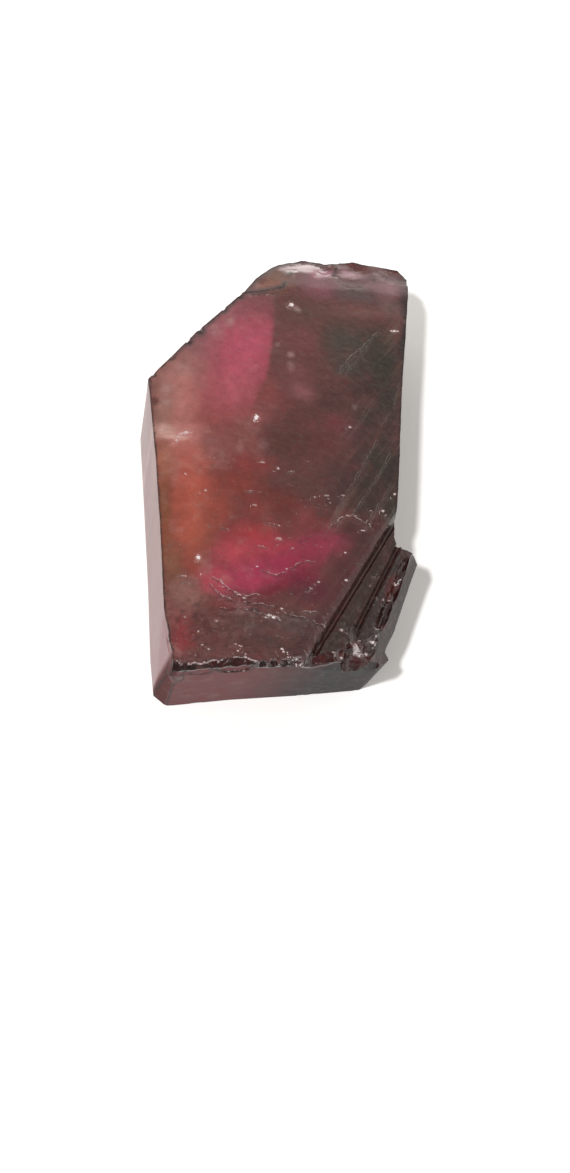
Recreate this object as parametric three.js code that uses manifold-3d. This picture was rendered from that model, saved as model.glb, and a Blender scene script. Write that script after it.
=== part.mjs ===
// A rough bicolor tourmaline: one stubby crystal fragment that lies on a flat face, with a broad
// flat top, smooth prism walls, a stepped and grooved shoulder, a shell-fractured far end and
// chipped edges. Millimetres, +Z up. It rests on its underside at z = 0, with +Y along its length
// towards the fractured end and +X towards the stepped side.
import * as THREE from "three";
import { mergeVertices } from "three/addons/utils/BufferGeometryUtils.js";
import Module from "manifold-3d";

const wasm = await Module();
wasm.setup();

// Driving dimensions
const thickness = 9.2; // resting face to top face
const reach = 60; // side of a cutting block, past the stone on every side
const clear = 4; // how far a cutter stands out above the top face
const hollowRough = 0.06; // unevenness of the shell-shaped hollows
const chipRough = 0.05; // unevenness of the rim chips
const hollowSeed = 5;
const chipSeed = 11;

// Corners in counter-clockwise order from the west corner: where each stands on the top face and
// where its edge meets the resting face, so that each wall has its own slight lean.
const corners = [
  { rim: [-9.3, 4.6], foot: [-9.15, 4.6] }, // west corner
  { rim: [-8.6, -1.2], foot: [-8.65, -1.2] },
  { rim: [-8.05, -7.2], foot: [-8.15, -7.2] },
  { rim: [-7.7, -12.0], foot: [-7.8, -12.6] },
  { rim: [-7.5, -14.9], foot: [-7.5, -15.1] },
  { rim: [-6.7, -15.8], foot: [-6.6, -15.8] }, // south-west corner
  { rim: [-2.2, -15.3], foot: [-2.2, -15.15] },
  { rim: [2.8, -14.9], foot: [2.8, -14.6] },
  { rim: [7.2, -14.1], foot: [7.2, -14.0] },
  { rim: [7.75, -13.6], foot: [7.8, -13.5] }, // south-east corner
  { rim: [7.4, -13.15], foot: [7.55, -12.95] }, // nick beside the shoulder
  { rim: [8.15, -11.7], foot: [8.1, -11.5] },
  { rim: [9.42, -8.0], foot: [9.25, -8.0] },
  { rim: [9.9, -6.75], foot: [9.7, -6.8] }, // corner of the ledge
  { rim: [9.55, -6.35], foot: [9.35, -6.4] },
  { rim: [8.8, -6.1], foot: [8.7, -6.05] },
  { rim: [7.9, -6.1], foot: [8.0, -6.0] }, // notch where the ledge meets the east wall
  { rim: [7.75, -5.6], foot: [7.85, -5.5] },
  { rim: [8.15, -0.6], foot: [8.2, -0.6] },
  { rim: [8.55, 5.5], foot: [8.6, 5.5] },
  { rim: [9.0, 10.2], foot: [8.9, 10.2] },
  { rim: [9.43, 15.1], foot: [9.2, 14.9] }, // north-east corner
  { rim: [8.75, 15.85], foot: [8.5, 15.6] },
  { rim: [6.4, 16.1], foot: [6.3, 15.8] },
  { rim: [5.3, 16.3], foot: [5.2, 15.9] },
  { rim: [4.1, 15.9], foot: [4.1, 15.6] },
  { rim: [2.7, 15.75], foot: [2.7, 15.4] },
  { rim: [1.5, 15.9], foot: [1.5, 15.5] },
  { rim: [0.3, 15.5], foot: [0.3, 15.1] },
  { rim: [-0.7, 14.85], foot: [-0.6, 14.5] },
  { rim: [-1.95, 13.6], foot: [-1.85, 13.3] },
  { rim: [-2.9, 12.15], foot: [-2.8, 12.0] },
  { rim: [-6.2, 8.5], foot: [-6.1, 8.4] },
];

// Growth steps on the shoulder: each is a long cut that runs up the page at its own heading
// (degrees from +X), with a section of [distance to the right, height].
const steps = [
  {
    at: [6.99, -5.39],
    heading: 59.5,
    section: [
      [-0.5, thickness],
      [-0.05, thickness - 0.1],
      [0.25, thickness - 0.6],
      [0.36, thickness - 0.6],
      [0.5, thickness - 0.42],
      [3, thickness - 0.62],
    ],
  },
  {
    at: [7.45, -6.95],
    heading: 63.5,
    section: [
      [0, thickness - 0.5],
      [0.2, thickness - 1.0],
      [0.3, thickness - 1.0],
      [0.45, thickness - 0.85],
      [0.62, thickness - 1.3],
      [3, thickness - 1.7],
    ],
  },
  {
    at: [7.81, -9.77],
    heading: 66,
    section: [
      [-0.1, thickness - 1.4],
      [0.05, thickness - 1.7],
      [1.0, thickness - 2.6],
      [4, thickness - 4.6],
    ],
  },
];

// Facets cut across corners and the far end: [point on the plane, heading, dip].
const facets = [
  [[5, 13.3, thickness], 92, 15], // slope of the far end
  [[-7.62, -12.2, thickness], 192, 86.5], // long facet beside the south-west corner
  [[-7.15, -14.55, thickness], 214, 81],
];

// Flat broken faces: each is cut down to a dipping plane, but only inside its own plan.
const brokenFaces = [
  {
    // wedge at the north-west end
    plan: [[-2.95, 12.2], [-1.5, 12.5], [0.0, 13.0], [0.5, 13.9], [-0.2, 14.7], [-3, 17], [-6, 14]],
    start: [-1.5, 12.5, thickness - 0.12],
    heading: 128,
    dip: 8,
  },
  {
    // left part of the front edge
    plan: [[-7, -17], [-1.2, -17], [-0.9, -14], [-7, -14]],
    start: [-4, -15.3, thickness],
    heading: -87,
    dip: 80,
  },
  {
    // right part of the front edge
    plan: [[1.3, -17], [7, -17], [7, -13], [1.7, -13]],
    start: [2.9, -14.48, thickness],
    heading: -75,
    dip: 79,
  },
];

// Shell-shaped hollows, each a ball with its own radii, turned about the upright.
const hollows = [
  { at: [1.1, 15.75, 11.38], radii: [3.7, 2.2, 3.0], turn: 22 }, // far end, west to east
  { at: [3.3, 15.6, 11.38], radii: [2.3, 2.4, 3.0], turn: -30 },
  { at: [5.3, 15.6, 11.32], radii: [3.5, 3.2, 3.0], turn: 12 },
  { at: [8.1, 15.5, 11.44], radii: [3.6, 2.1, 3.0], turn: -12 },
  { at: [9.6, 15.4, 11.3], radii: [1.9, 2.4, 2.8], turn: 15 },
  { at: [2.3, 18.2, 4.4], radii: [2.6, 2.9, 3.4], turn: 10 }, // far wall below it
  { at: [5.6, 19.2, 2.6], radii: [3.0, 3.5, 3.2], turn: -10 },
  { at: [7.4, 18.4, 5.6], radii: [2.4, 2.8, 2.7], turn: -5 },
  { at: [4.6, 18.6, 6.6], radii: [2.0, 2.7, 1.7], turn: 20 },
  { at: [11.3, 12.2, 6.4], radii: [2.5, 3.4, 2.2], turn: 0 }, // east wall
  { at: [12.3, 4.6, 3.4], radii: [4.0, 6.0, 2.4], turn: 4 },
  { at: [-7.45, -16.0, 7.5], radii: [1.35, 1.05, 2.2], turn: 0 }, // south-west corner
  { at: [-5.2, -16.1, 8.6], radii: [1.2, 0.85, 1.1], turn: 5 }, // front edge, west to east
  { at: [-2.8, -15.85, 9.1], radii: [1.6, 1.15, 1.6], turn: -4 },
  { at: [0.3, -15.65, 9.4], radii: [1.2, 0.7, 1.1], turn: 8 },
  { at: [5.4, -14.7, 8.2], radii: [1.35, 1.5, 2.1], turn: 10 }, // pits below the shoulder
  { at: [6.35, -13.2, 8.5], radii: [0.8, 1.3, 1.4], turn: -30 },
  { at: [5.2, -12.9, 9.1], radii: [0.8, 1.1, 1.2], turn: 35 },
  { at: [4.1, -14.2, 9.1], radii: [0.9, 0.6, 0.9], turn: 20 },
  { at: [8.5, -7.75, 8.05], radii: [0.42, 1.35, 0.7], turn: -22 }, // trough inside the bevel
  { at: [8.0, -9.1, 7.95], radii: [0.5, 1.6, 0.8], turn: -25 },
  { at: [7.3, -10.75, 7.95], radii: [0.46, 1.75, 0.85], turn: -24 },
  { at: [9.9, -5.8, 8.2], radii: [0.8, 0.7, 1.2], turn: 30 }, // ledge's far corner
];

// Chips along the rims: from one plan point to another, at this spacing, with radii about size.
const top = thickness;
const rimChips = [
  { from: [-6.2, -15.75], to: [4.4, -14.85], at: top, spacing: 0.55, size: [0.42, 0.5, 0.6] },
  { from: [8.3, -3.6], to: [9.1, 9.6], at: top, spacing: 1.2, size: [0.18, 0.4, 0.3] },
  { from: [-8.1, -8.6], to: [-9.25, 4.0], at: top, spacing: 3.1, size: [0.12, 0.2, 0.2] },
  { from: [-8.8, 5.3], to: [-3.3, 11.8], at: top, spacing: 1.7, size: [0.2, 0.22, 0.16] },
  { from: [2.2, 16.5], to: [8.6, 16.5], at: top, spacing: 0.9, size: [0.5, 0.4, 1.2] },
  { from: [-6.0, -15.85], to: [6.6, -14.2], at: 0, spacing: 2.3, size: [0.5, 0.22, 0.2] },
  { from: [8.0, -3.8], to: [9.2, 14.0], at: 0, spacing: 2.1, size: [0.25, 0.5, 0.3] },
];

// A closed geometry as a solid for joining and cutting, with its points moved by nudge if given.
function solidOf(geometry, nudge = null) {
  const bare = geometry.clone();
  bare.deleteAttribute("normal");
  bare.deleteAttribute("uv");
  const merged = mergeVertices(bare, 1e-4);
  const place = merged.attributes.position;
  if (nudge) {
    for (let i = 0; i < place.count; i += 1) {
      const moved = nudge(new THREE.Vector3().fromBufferAttribute(place, i));
      place.setXYZ(i, moved.x, moved.y, moved.z);
    }
  }
  return new wasm.Manifold(
    new wasm.Mesh({
      numProp: 3,
      vertProperties: new Float32Array(place.array),
      triVerts: new Uint32Array(merged.index.array),
    }),
  );
}

// Back from a solid to a geometry.
function geometryOf(solid) {
  const mesh = solid.getMesh();
  const geometry = new THREE.BufferGeometry();
  geometry.setAttribute("position", new THREE.BufferAttribute(mesh.vertProperties, 3));
  geometry.setIndex(new THREE.BufferAttribute(mesh.triVerts, 1));
  geometry.computeVertexNormals();
  return geometry;
}

// A repeatable run of numbers from -1 to 1.
function seeded(seed) {
  let state = seed;
  return () => {
    state = (state * 1664525 + 1013904223) % 4294967296;
    return (2 * state) / 4294967296 - 1;
  };
}

const radians = THREE.MathUtils.degToRad;

function shapeOf(points) {
  return new THREE.Shape(points.map(([x, y]) => new THREE.Vector2(x, y)));
}

// The block between the resting face and the top face, each corner running from foot to rim.
function bodyBlock() {
  const shape = shapeOf(corners.map((corner) => corner.rim));
  const geometry = new THREE.ExtrudeGeometry(shape, { depth: thickness, bevelEnabled: false });
  const toFoot = (point) => {
    if (point.z > thickness / 2) return point;
    const isHere = ({ rim }) => Math.hypot(point.x - rim[0], point.y - rim[1]) < 1e-4;
    return new THREE.Vector3(...corners.find(isHere).foot, 0);
  };
  return solidOf(geometry, toFoot);
}

// An upright prism over a plan of points.
function prism(points, bottom, top) {
  const depth = top - bottom;
  const geometry = new THREE.ExtrudeGeometry(shapeOf(points), { depth, bevelEnabled: false });
  geometry.translate(0, 0, bottom);
  return solidOf(geometry);
}

// Everything above a plane through a point, which dips by so many degrees towards a heading
// (degrees from +X).
function abovePlane(point, heading, dip) {
  const block = new THREE.BoxGeometry(reach, reach, reach);
  block.translate(0, 0, reach / 2);
  block.rotateY(radians(dip));
  block.rotateZ(radians(heading));
  block.translate(...point);
  return solidOf(block);
}

// What lies over a broken face.
function brokenCut({ plan, start, heading, dip }) {
  return prism(plan, thickness / 2, thickness + clear).intersect(abovePlane(start, heading, dip));
}

// A long cut above a section of [distance to the right, height] points.
function stepCut({ at, heading, section }) {
  const over = thickness + clear;
  const closed = [...section, [section.at(-1)[0], over], [section[0][0], over]];
  const shape = shapeOf(closed);
  const geometry = new THREE.ExtrudeGeometry(shape, { depth: reach, bevelEnabled: false });
  geometry.translate(0, 0, -reach / 2);
  geometry.rotateX(Math.PI / 2);
  geometry.rotateZ(radians(heading - 90));
  geometry.translate(at[0], at[1], 0);
  return solidOf(geometry);
}

// A ball stretched along its axes and turned about the upright, its points pushed in and out by
// up to rough millimetres.
function ball(centre, radii, turn, detail, rough, random) {
  const geometry = new THREE.IcosahedronGeometry(1, detail);
  const spin = new THREE.Matrix4().makeRotationZ(radians(turn));
  const place = (point) => {
    const pushed = point.clone().multiply(new THREE.Vector3(...radii));
    pushed.addScaledVector(point, rough * random());
    return pushed.applyMatrix4(spin).add(new THREE.Vector3(...centre));
  };
  return solidOf(geometry, place);
}

// A run of chips along a rim, each of its own size and a little off the line.
function chipRun({ from, to, at, spacing, size }, index) {
  const random = seeded(chipSeed + index);
  const start = new THREE.Vector2(...from);
  const along = new THREE.Vector2(...to).sub(start);
  const count = Math.round(along.length() / spacing);
  const chips = [];
  for (let i = 0; i <= count; i += 1) {
    const spot = start.clone().addScaledVector(along, (i + 0.35 * random()) / count);
    const centre = [spot.x, spot.y, at + 0.1 * random()];
    const grow = 1 + 0.22 * random();
    const radii = size.map((radius) => radius * grow * (1 + 0.15 * random()));
    chips.push(ball(centre, radii, 14 * random(), 1, chipRough, random));
  }
  return chips;
}

const hollowRandom = seeded(hollowSeed);
const cuts = [
  ...steps.map(stepCut),
  ...facets.map((facet) => abovePlane(...facet)),
  ...brokenFaces.map(brokenCut),
  ...hollows.map(({ at, radii, turn }) => ball(at, radii, turn, 3, hollowRough, hollowRandom)),
  ...rimChips.flatMap(chipRun),
];

let stone = bodyBlock();
for (const cut of cuts) {
  stone = stone.subtract(cut);
}

const geometry = geometryOf(stone);
geometry.computeBoundingBox();
const middle = geometry.boundingBox.getCenter(new THREE.Vector3());

const crystal = new THREE.Mesh(
  geometry,
  new THREE.MeshStandardMaterial({ color: 0x7c4548, roughness: 0.25, metalness: 0 }),
);
crystal.name = "crystal";
crystal.position.set(-middle.x, -middle.y, 0); // the origin lies under the middle of the outline

const specimen = new THREE.Group();
specimen.add(crystal);

export default specimen;
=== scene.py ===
# Rough bicolor tourmaline on a pale table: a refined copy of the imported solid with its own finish.
import math
from functools import partial

import bmesh
import bpy
import numpy as np
from mathutils import Matrix, Vector, kdtree, noise


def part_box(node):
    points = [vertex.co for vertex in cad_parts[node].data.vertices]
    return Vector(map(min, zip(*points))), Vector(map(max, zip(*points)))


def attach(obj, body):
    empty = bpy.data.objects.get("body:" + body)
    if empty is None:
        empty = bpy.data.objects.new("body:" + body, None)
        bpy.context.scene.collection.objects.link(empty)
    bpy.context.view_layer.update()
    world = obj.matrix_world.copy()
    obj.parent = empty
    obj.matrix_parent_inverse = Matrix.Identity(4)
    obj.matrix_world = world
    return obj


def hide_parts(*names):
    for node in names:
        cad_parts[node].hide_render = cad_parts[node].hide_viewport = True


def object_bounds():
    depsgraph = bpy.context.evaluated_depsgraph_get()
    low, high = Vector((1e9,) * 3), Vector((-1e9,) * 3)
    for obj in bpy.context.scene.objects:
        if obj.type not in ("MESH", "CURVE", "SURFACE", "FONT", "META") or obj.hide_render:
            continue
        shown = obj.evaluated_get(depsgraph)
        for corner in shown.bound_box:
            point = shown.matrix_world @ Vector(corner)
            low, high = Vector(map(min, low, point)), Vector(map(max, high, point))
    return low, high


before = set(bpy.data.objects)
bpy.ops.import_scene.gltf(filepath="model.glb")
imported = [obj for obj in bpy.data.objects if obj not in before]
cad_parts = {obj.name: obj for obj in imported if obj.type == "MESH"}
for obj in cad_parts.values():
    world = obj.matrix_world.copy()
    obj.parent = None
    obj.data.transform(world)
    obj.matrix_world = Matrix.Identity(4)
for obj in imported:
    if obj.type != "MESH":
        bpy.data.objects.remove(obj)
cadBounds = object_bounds()
mm = 0.001  # sizes below are in millimetres and turn into metres with this
noise.seed_set(11)  # the same unevenness on every run

# ---- the stone's refined mesh

stoneShape = {
    "topGrid": 0.34,  # spacing of the cuts over the upper faces, halved over their rougher front part
    "frontFrom": -7.5,  # where that part starts, along Y
    "wallGrid": 0.65,  # over the walls
    "closeGrid": 0.28,  # over the small steep faces of the chipped rim, the shoulder and the far end
    "baseGrid": 1.6,  # over the underside
    "sharpAngle": 30,  # degrees past which an edge between faces keeps its corner
    "crispAngle": 62,  # degrees past which the shading breaks there too
    "edgeCrispness": 0.8,
    "hollowPasses": 12,  # rounds of smoothing over the shell-shaped hollows
    "growthHeading": 58,  # degrees from +X to the growth lines, seen from above
    "shoulderAcross": (0.862, -0.507),  # the way across the shoulder's steps
    "topSwell": 0.03,  # broad unevenness of the top face
    "scarpHeight": 0.022,  # little terraces over the top face
    "striaDepth": 0.012,  # growth lines on the dark side
    "etchDepth": 0.005,  # fine etching of the top face
    "frontRough": 0.04,  # unevenness of the top face near the front
    "wallSwell": 0.02,
    "brokenRough": 0.05,  # unevenness of fractured faces
    # the chipped bevel over the front wall: the wall's line, and the heights of its foot and top along X
    "frontWall": [(-6.9, -16.03), (-2.5, -15.38), (2.5, -14.83), (6.9, -14.23)],
    "bevelFoot": [(-6.9, 8.78), (0.8, 8.78), (1.8, 8.28), (5.6, 8.2)],
    "bevelTop": [(0.8, 9.2), (1.8, 8.72), (5.0, 8.6)],
    "bevelDepth": 0.48,
    "bevelFill": 0.95,
    "rimWander": 0.07,  # how far rims stray sideways in the front part
    "restBand": 0.3,  # the unevenness comes in over this height above the foot, so the stone lies flat
    # cracks in the top face: points along each, drop on its right-hand side, how bright its painted glint
    # is
    "cracks": [
        ([(3.0, -5.3), (3.5, -5.0), (3.75, -4.82), (4.0, -4.66), (4.5, -4.66)], 0.06, 0.9),
        ([(4.5, -4.66), (4.9, -4.85), (5.4, -5.08), (5.75, -5.3), (6.0, -5.6)], 0.06, 0.8),
        ([(2.8, -5.55), (3.2, -5.45), (3.75, -5.1)], 0.05, 0.0),
        ([(-2.8, -3.43), (-2.5, -3.38), (-2.2, -3.33)], 0.02, 0.35),
        ([(-1.6, -5.55), (-1.2, -5.62), (-0.7, -5.65)], 0.03, 0.5),
        ([(-4.4, -6.13), (-4.15, -6.22), (-3.95, -6.2)], 0.02, 0.3),
        ([(0.0, -1.78), (0.2, -1.74), (0.55, -1.68)], 0.02, 0.8),
        ([(0.8, -6.85), (1.1, -6.65), (1.45, -6.48)], 0.04, 0.0),
        ([(-1.95, -7.3), (-1.55, -7.27), (-1.2, -7.35)], 0.02, 0.8),
        (
            [(-5.1, -9.6), (-4.7, -9.7), (-4.3, -9.95), (-3.95, -10.3), (-3.4, -10.65), (-2.9, -10.85)],
            0.04,
            0.6,
        ),
        ([(-2.9, -10.85), (-2.5, -10.84), (-2.1, -10.68), (-1.8, -10.62)], 0.04, 0.75),
        ([(-5.2, -10.0), (-4.7, -10.5), (-4.2, -10.9), (-3.6, -11.15), (-3.0, -11.28)], 0.04, 0.5),
        ([(-3.0, -11.28), (-2.5, -11.32), (-1.9, -11.27), (-1.3, -11.33), (-0.8, -11.5)], 0.04, 0.7),
        ([(-4.6, -11.75), (-3.9, -11.78), (-3.2, -11.66), (-2.4, -11.72), (-1.6, -11.95)], 0.05, 0.15),
        ([(-1.6, -11.95), (-1.2, -12.1), (-0.75, -12.18), (-0.3, -12.3)], 0.05, 0.8),
        ([(-0.4, -11.72), (0.25, -11.95), (1.0, -12.05), (1.6, -12.25)], 0.04, 0.6),
        ([(1.6, -12.25), (2.0, -12.42), (2.6, -12.55)], 0.03, 0.5),
        ([(0.9, -11.56), (1.5, -11.66), (2.1, -11.57)], 0.02, 0.5),
        ([(-1.9, -8.9), (-1.3, -9.07), (-0.8, -9.28), (-0.4, -9.1), (0.1, -8.78)], 0.03, 0.5),
        ([(0.1, -8.78), (0.7, -8.4), (1.3, -8.15), (2.0, -8.16)], 0.03, 0.5),
        ([(1.5, -15.0), (2.1, -14.98), (2.7, -14.82), (3.3, -14.62), (3.8, -14.45)], 0.02, 0.9),
        ([(1.1, -14.2), (1.25, -14.45), (1.38, -14.75), (1.4, -14.95)], 0.03, 0.7),
        ([(1.6, -10.0), (1.45, -10.2), (1.3, -10.4)], 0.02, 0.2),
        # growth lines that show
        ([(3.5, 5.9), (4.6, 7.6), (5.3, 8.3), (6.2, 9.3), (6.9, 10.1)], 0.0, 0.22),
        ([(4.1, 6.1), (5.0, 7.5), (6.1, 8.7)], 0.0, 0.12),
        ([(7.6, 4.0), (7.8, 4.9), (8.1, 5.9)], 0.0, 0.2),
        ([(3.0, -4.9), (4.4, -2.5), (5.9, 0.3), (6.5, 1.5)], 0.0, 0.14),
        ([(4.1, -5.2), (5.4, -3.1), (6.9, -0.5), (7.4, 0.6)], 0.0, 0.12),
        ([(5.3, -5.4), (6.3, -3.7), (7.3, -1.9)], 0.0, 0.16),
        ([(-2.8, 11.9), (-2.0, 11.95), (-1.1, 12.1), (-0.2, 12.5)], 0.02, 0.0),
    ],
    # painted glints: centre, radii, how bright
    "glints": [
        (-6.87, -2.5, 0.08, 0.08, 0.5), (-5.5, -3.58, 0.13, 0.08, 0.4), (-2.2, -4.38, 0.15, 0.07, 0.5),
        (-0.55, -5.75, 0.08, 0.05, 0.4), (-0.5, -6.68, 0.25, 0.1, 0.3), (-0.62, -1.57, 0.09, 0.08, 0.5),
        (-1.7, -1.2, 0.2, 0.06, 0.3), (1.9, -3.48, 0.1, 0.05, 0.5), (2.7, -3.3, 0.2, 0.07, 0.25),
        (3.85, -3.2, 0.12, 0.06, 0.3), (2.95, -3.8, 0.1, 0.05, 0.3), (5.2, -5.67, 0.2, 0.06, 0.5),
        (6.6, -4.1, 0.15, 0.1, 0.6), (6.8, -4.45, 0.1, 0.06, 0.3), (7.5, -2.83, 0.09, 0.09, 0.7),
        (0.35, -7.3, 0.1, 0.07, 0.3), (3.95, -7.38, 0.1, 0.05, 0.7), (-5.85, -8.4, 0.13, 0.22, 0.95),
        (-5.67, -9.52, 0.06, 0.06, 0.8), (-6.85, -9.73, 0.2, 0.06, 0.6), (-4.2, -10.28, 0.08, 0.05, 0.5),
        (-2.8, -10.97, 0.1, 0.05, 0.6), (-0.35, -11.55, 0.1, 0.05, 0.5), (-1.4, -12.2, 0.08, 0.06, 0.8),
        (-1.2, -12.0, 0.07, 0.05, 0.6), (-0.85, -12.17, 0.16, 0.08, 1.0), (-4.6, -12.65, 0.1, 0.07, 0.3),
        (-5.75, -13.5, 0.1, 0.08, 0.45), (-5.45, -14.28, 0.08, 0.06, 0.6), (-5.05, -14.53, 0.08, 0.06, 0.5),
        (-3.3, -14.15, 0.1, 0.05, 0.6), (-3.0, -14.25, 0.07, 0.05, 0.6), (-3.2, -14.6, 0.08, 0.05, 0.6),
        (-2.65, -14.78, 0.1, 0.05, 0.6), (-2.65, -14.98, 0.07, 0.05, 0.6), (-0.4, -14.3, 0.09, 0.06, 0.7),
        (-0.3, -14.48, 0.06, 0.05, 0.7), (0.0, -14.5, 0.07, 0.05, 0.7), (0.1, -14.85, 0.08, 0.07, 1.0),
        (0.4, -14.8, 0.07, 0.08, 1.0), (0.65, -14.8, 0.09, 0.06, 1.0), (0.2, -15.1, 0.1, 0.07, 0.9),
        (0.7, -15.15, 0.07, 0.08, 0.9), (0.95, -15.15, 0.06, 0.07, 0.8), (0.25, -15.4, 0.08, 0.05, 0.7),
        (2.1, -9.55, 0.08, 0.06, 0.4), (4.0, -9.3, 0.1, 0.08, 0.7), (7.87, -8.67, 0.13, 0.09, 0.9),
        (7.4, -9.85, 0.09, 0.06, 0.5), (3.7, -12.65, 0.1, 0.09, 0.5), (0.02, -8.78, 0.07, 0.05, 0.7),
        (-2.0, -8.75, 0.08, 0.05, 0.6), (-2.1, 2.1, 0.17, 0.26, 1.0), (0.3, 11.35, 0.16, 0.18, 1.0),
        (7.95, 10.05, 0.28, 0.1, 0.85), (4.4, 2.0, 0.13, 0.07, 0.55), (-6.85, 0.55, 0.16, 0.1, 0.5),
        (-7.2, 0.42, 0.18, 0.08, 0.35), (-7.55, -0.08, 0.1, 0.16, 0.35), (-6.45, 0.6, 0.1, 0.07, 0.3),
        (5.0, -13.6, 0.2, 0.15, 1.0), (4.75, -13.5, 0.18, 0.1, 0.8), (5.3, -13.8, 0.15, 0.09, 0.9),
        (5.7, -13.75, 0.13, 0.09, 0.6), (4.45, -13.2, 0.07, 0.07, 0.6), (4.45, -13.4, 0.06, 0.05, 0.6),
        (4.8, -13.3, 0.1, 0.05, 0.5), (6.15, -12.9, 0.22, 0.09, 1.0), (6.55, -11.97, 0.09, 0.05, 0.9),
        (6.3, -12.05, 0.1, 0.04, 0.5), (6.33, -12.55, 0.07, 0.07, 0.7), (5.1, -13.03, 0.1, 0.04, 0.4),
        (4.1, -12.85, 0.1, 0.04, 0.35), (3.2, -14.2, 0.12, 0.05, 0.5), (3.8, -14.18, 0.09, 0.08, 0.8),
        (6.3, -10.1, 0.1, 0.07, 0.3), (6.85, -10.05, 0.05, 0.12, 0.35), (6.05, -10.6, 0.07, 0.06, 0.3),
        (5.7, -9.45, 0.08, 0.06, 0.25), (-4.0, -15.75, 0.1, 0.07, 0.9), (-3.6, -15.55, 0.07, 0.06, 0.8),
        (-3.2, -15.38, 0.08, 0.06, 0.8), (-2.6, -15.5, 0.07, 0.06, 0.7), (1.6, -10.05, 0.08, 0.1, 0.2),
    ],
}


def smooth(value, low, high):
    part = min(max((value - low) / (high - low), 0.0), 1.0)
    return part * part * (3 - 2 * part)


def noiseAt(x, y, z):
    return noise.noise(Vector((x, y, z)))


def cutGrid(mesh, chosen, axis, spacing, low, high, offset=0.47):
    normal = Vector((0, 0, 0))
    normal[axis] = 1
    tiny = 1e-7

    def lowest(face):
        return min(corner.co[axis] for corner in face.verts)

    def highest(face):
        return max(corner.co[axis] for corner in face.verts)

    waiting = [(lowest(face), face.index, face) for face in mesh.faces if chosen(face)]
    waiting.sort(reverse=True)
    active = []
    at = low + spacing * offset
    while at < high:
        while waiting and waiting[-1][0] < at - tiny:
            active.append(waiting.pop()[2])
        active = [face for face in active if highest(face) > at + tiny]
        crossed = [face for face in active if lowest(face) < at - tiny]
        edges = {edge for face in crossed for edge in face.edges}
        corners = {corner for face in crossed for corner in face.verts}
        geometry = crossed + list(edges) + list(corners)
        result = bmesh.ops.bisect_plane(
            mesh, geom=geometry, dist=tiny, plane_co=normal * at, plane_no=normal
        )
        done = set(crossed)
        active = [face for face in active if face not in done]
        active += [item for item in result["geom"] if isinstance(item, bmesh.types.BMFace)]
        at += spacing


def turnOf(edge):
    return edge.calc_face_angle(0) if len(edge.link_faces) == 2 else 0


def roundHollows(mesh, passes, sharp):
    soft = []
    for corner in mesh.verts:
        turns = [turnOf(edge) for edge in corner.link_edges]
        if 0.02 < max(turns) < sharp:
            soft.append(corner)
    for _ in range(passes):
        bmesh.ops.smooth_vert(
            mesh, verts=soft, factor=0.5, use_axis_x=True, use_axis_y=True, use_axis_z=True
        )


def refineStone(source, shape):
    mesh = bmesh.new()
    mesh.from_mesh(source.data)
    bmesh.ops.remove_doubles(mesh, verts=mesh.verts, dist=0.002 * mm)
    bmesh.ops.dissolve_limit(mesh, angle_limit=0.01, verts=mesh.verts, edges=mesh.edges)
    mesh.normal_update()
    low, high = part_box("crystal")
    frontFrom = shape["frontFrom"] * mm
    acrossX, acrossY = shape["shoulderAcross"]

    def upper(face):
        return face.normal.z > 0.5

    def upperFront(face):
        return face.normal.z > 0.5 and min(corner.co.y for corner in face.verts) < frontFrom

    def upright(face):
        return -0.9 < face.normal.z <= 0.5

    def under(face):
        return face.normal.z <= -0.9

    # small steep faces that are seen from close by
    def closeWork(face):
        if not upright(face):
            return False
        x, y, z = face.calc_center_median() / mm
        chippedRim = y < -13.2 and z > 7.3
        shoulder = acrossX * x + acrossY * y > 8.2 and y < -4.8 and z > 6.5
        farEnd = y > 12.5 and z > 6.5
        return chippedRim or shoulder or farEnd

    cutGrid(mesh, upright, 2, shape["wallGrid"] * mm, low[2], high[2])
    for axis in (1, 0):
        cutGrid(mesh, under, axis, shape["baseGrid"] * mm, low[axis], high[axis])
        cutGrid(mesh, upright, axis, shape["wallGrid"] * mm, low[axis], high[axis])
        cutGrid(mesh, upper, axis, shape["topGrid"] * mm, low[axis], high[axis])
        last = frontFrom if axis == 1 else high[axis]
        cutGrid(mesh, upperFront, axis, shape["topGrid"] * mm, low[axis], last, 0.97)
    for axis in range(3):
        cutGrid(mesh, closeWork, axis, shape["closeGrid"] * mm, low[axis], high[axis])
    big = [face for face in mesh.faces if len(face.verts) > 6]
    bmesh.ops.triangulate(mesh, faces=big)
    mesh.normal_update()
    sharp = math.radians(shape["sharpAngle"])
    roundHollows(mesh, shape["hollowPasses"], sharp)
    mesh.normal_update()
    crease = mesh.edges.layers.float.new("crease_edge")
    for edge in mesh.edges:
        if turnOf(edge) > sharp:
            edge[crease] = shape["edgeCrispness"]
    data = bpy.data.meshes.new("crystal_skin")
    mesh.to_mesh(data)
    mesh.free()
    stone = bpy.data.objects.new("crystal_skin", data)
    bpy.context.scene.collection.objects.link(stone)
    rounding = stone.modifiers.new("rounding", "SUBSURF")
    rounding.levels = 1
    rounding.use_limit_surface = False
    bpy.context.view_layer.update()
    evaluated = stone.evaluated_get(bpy.context.evaluated_depsgraph_get())
    stone.data = bpy.data.meshes.new_from_object(evaluated)
    stone.modifiers.clear()
    triangles = sum(len(face.vertices) - 2 for face in stone.data.polygons)
    print("stone refined:", triangles, "triangles")
    return stone


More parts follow.
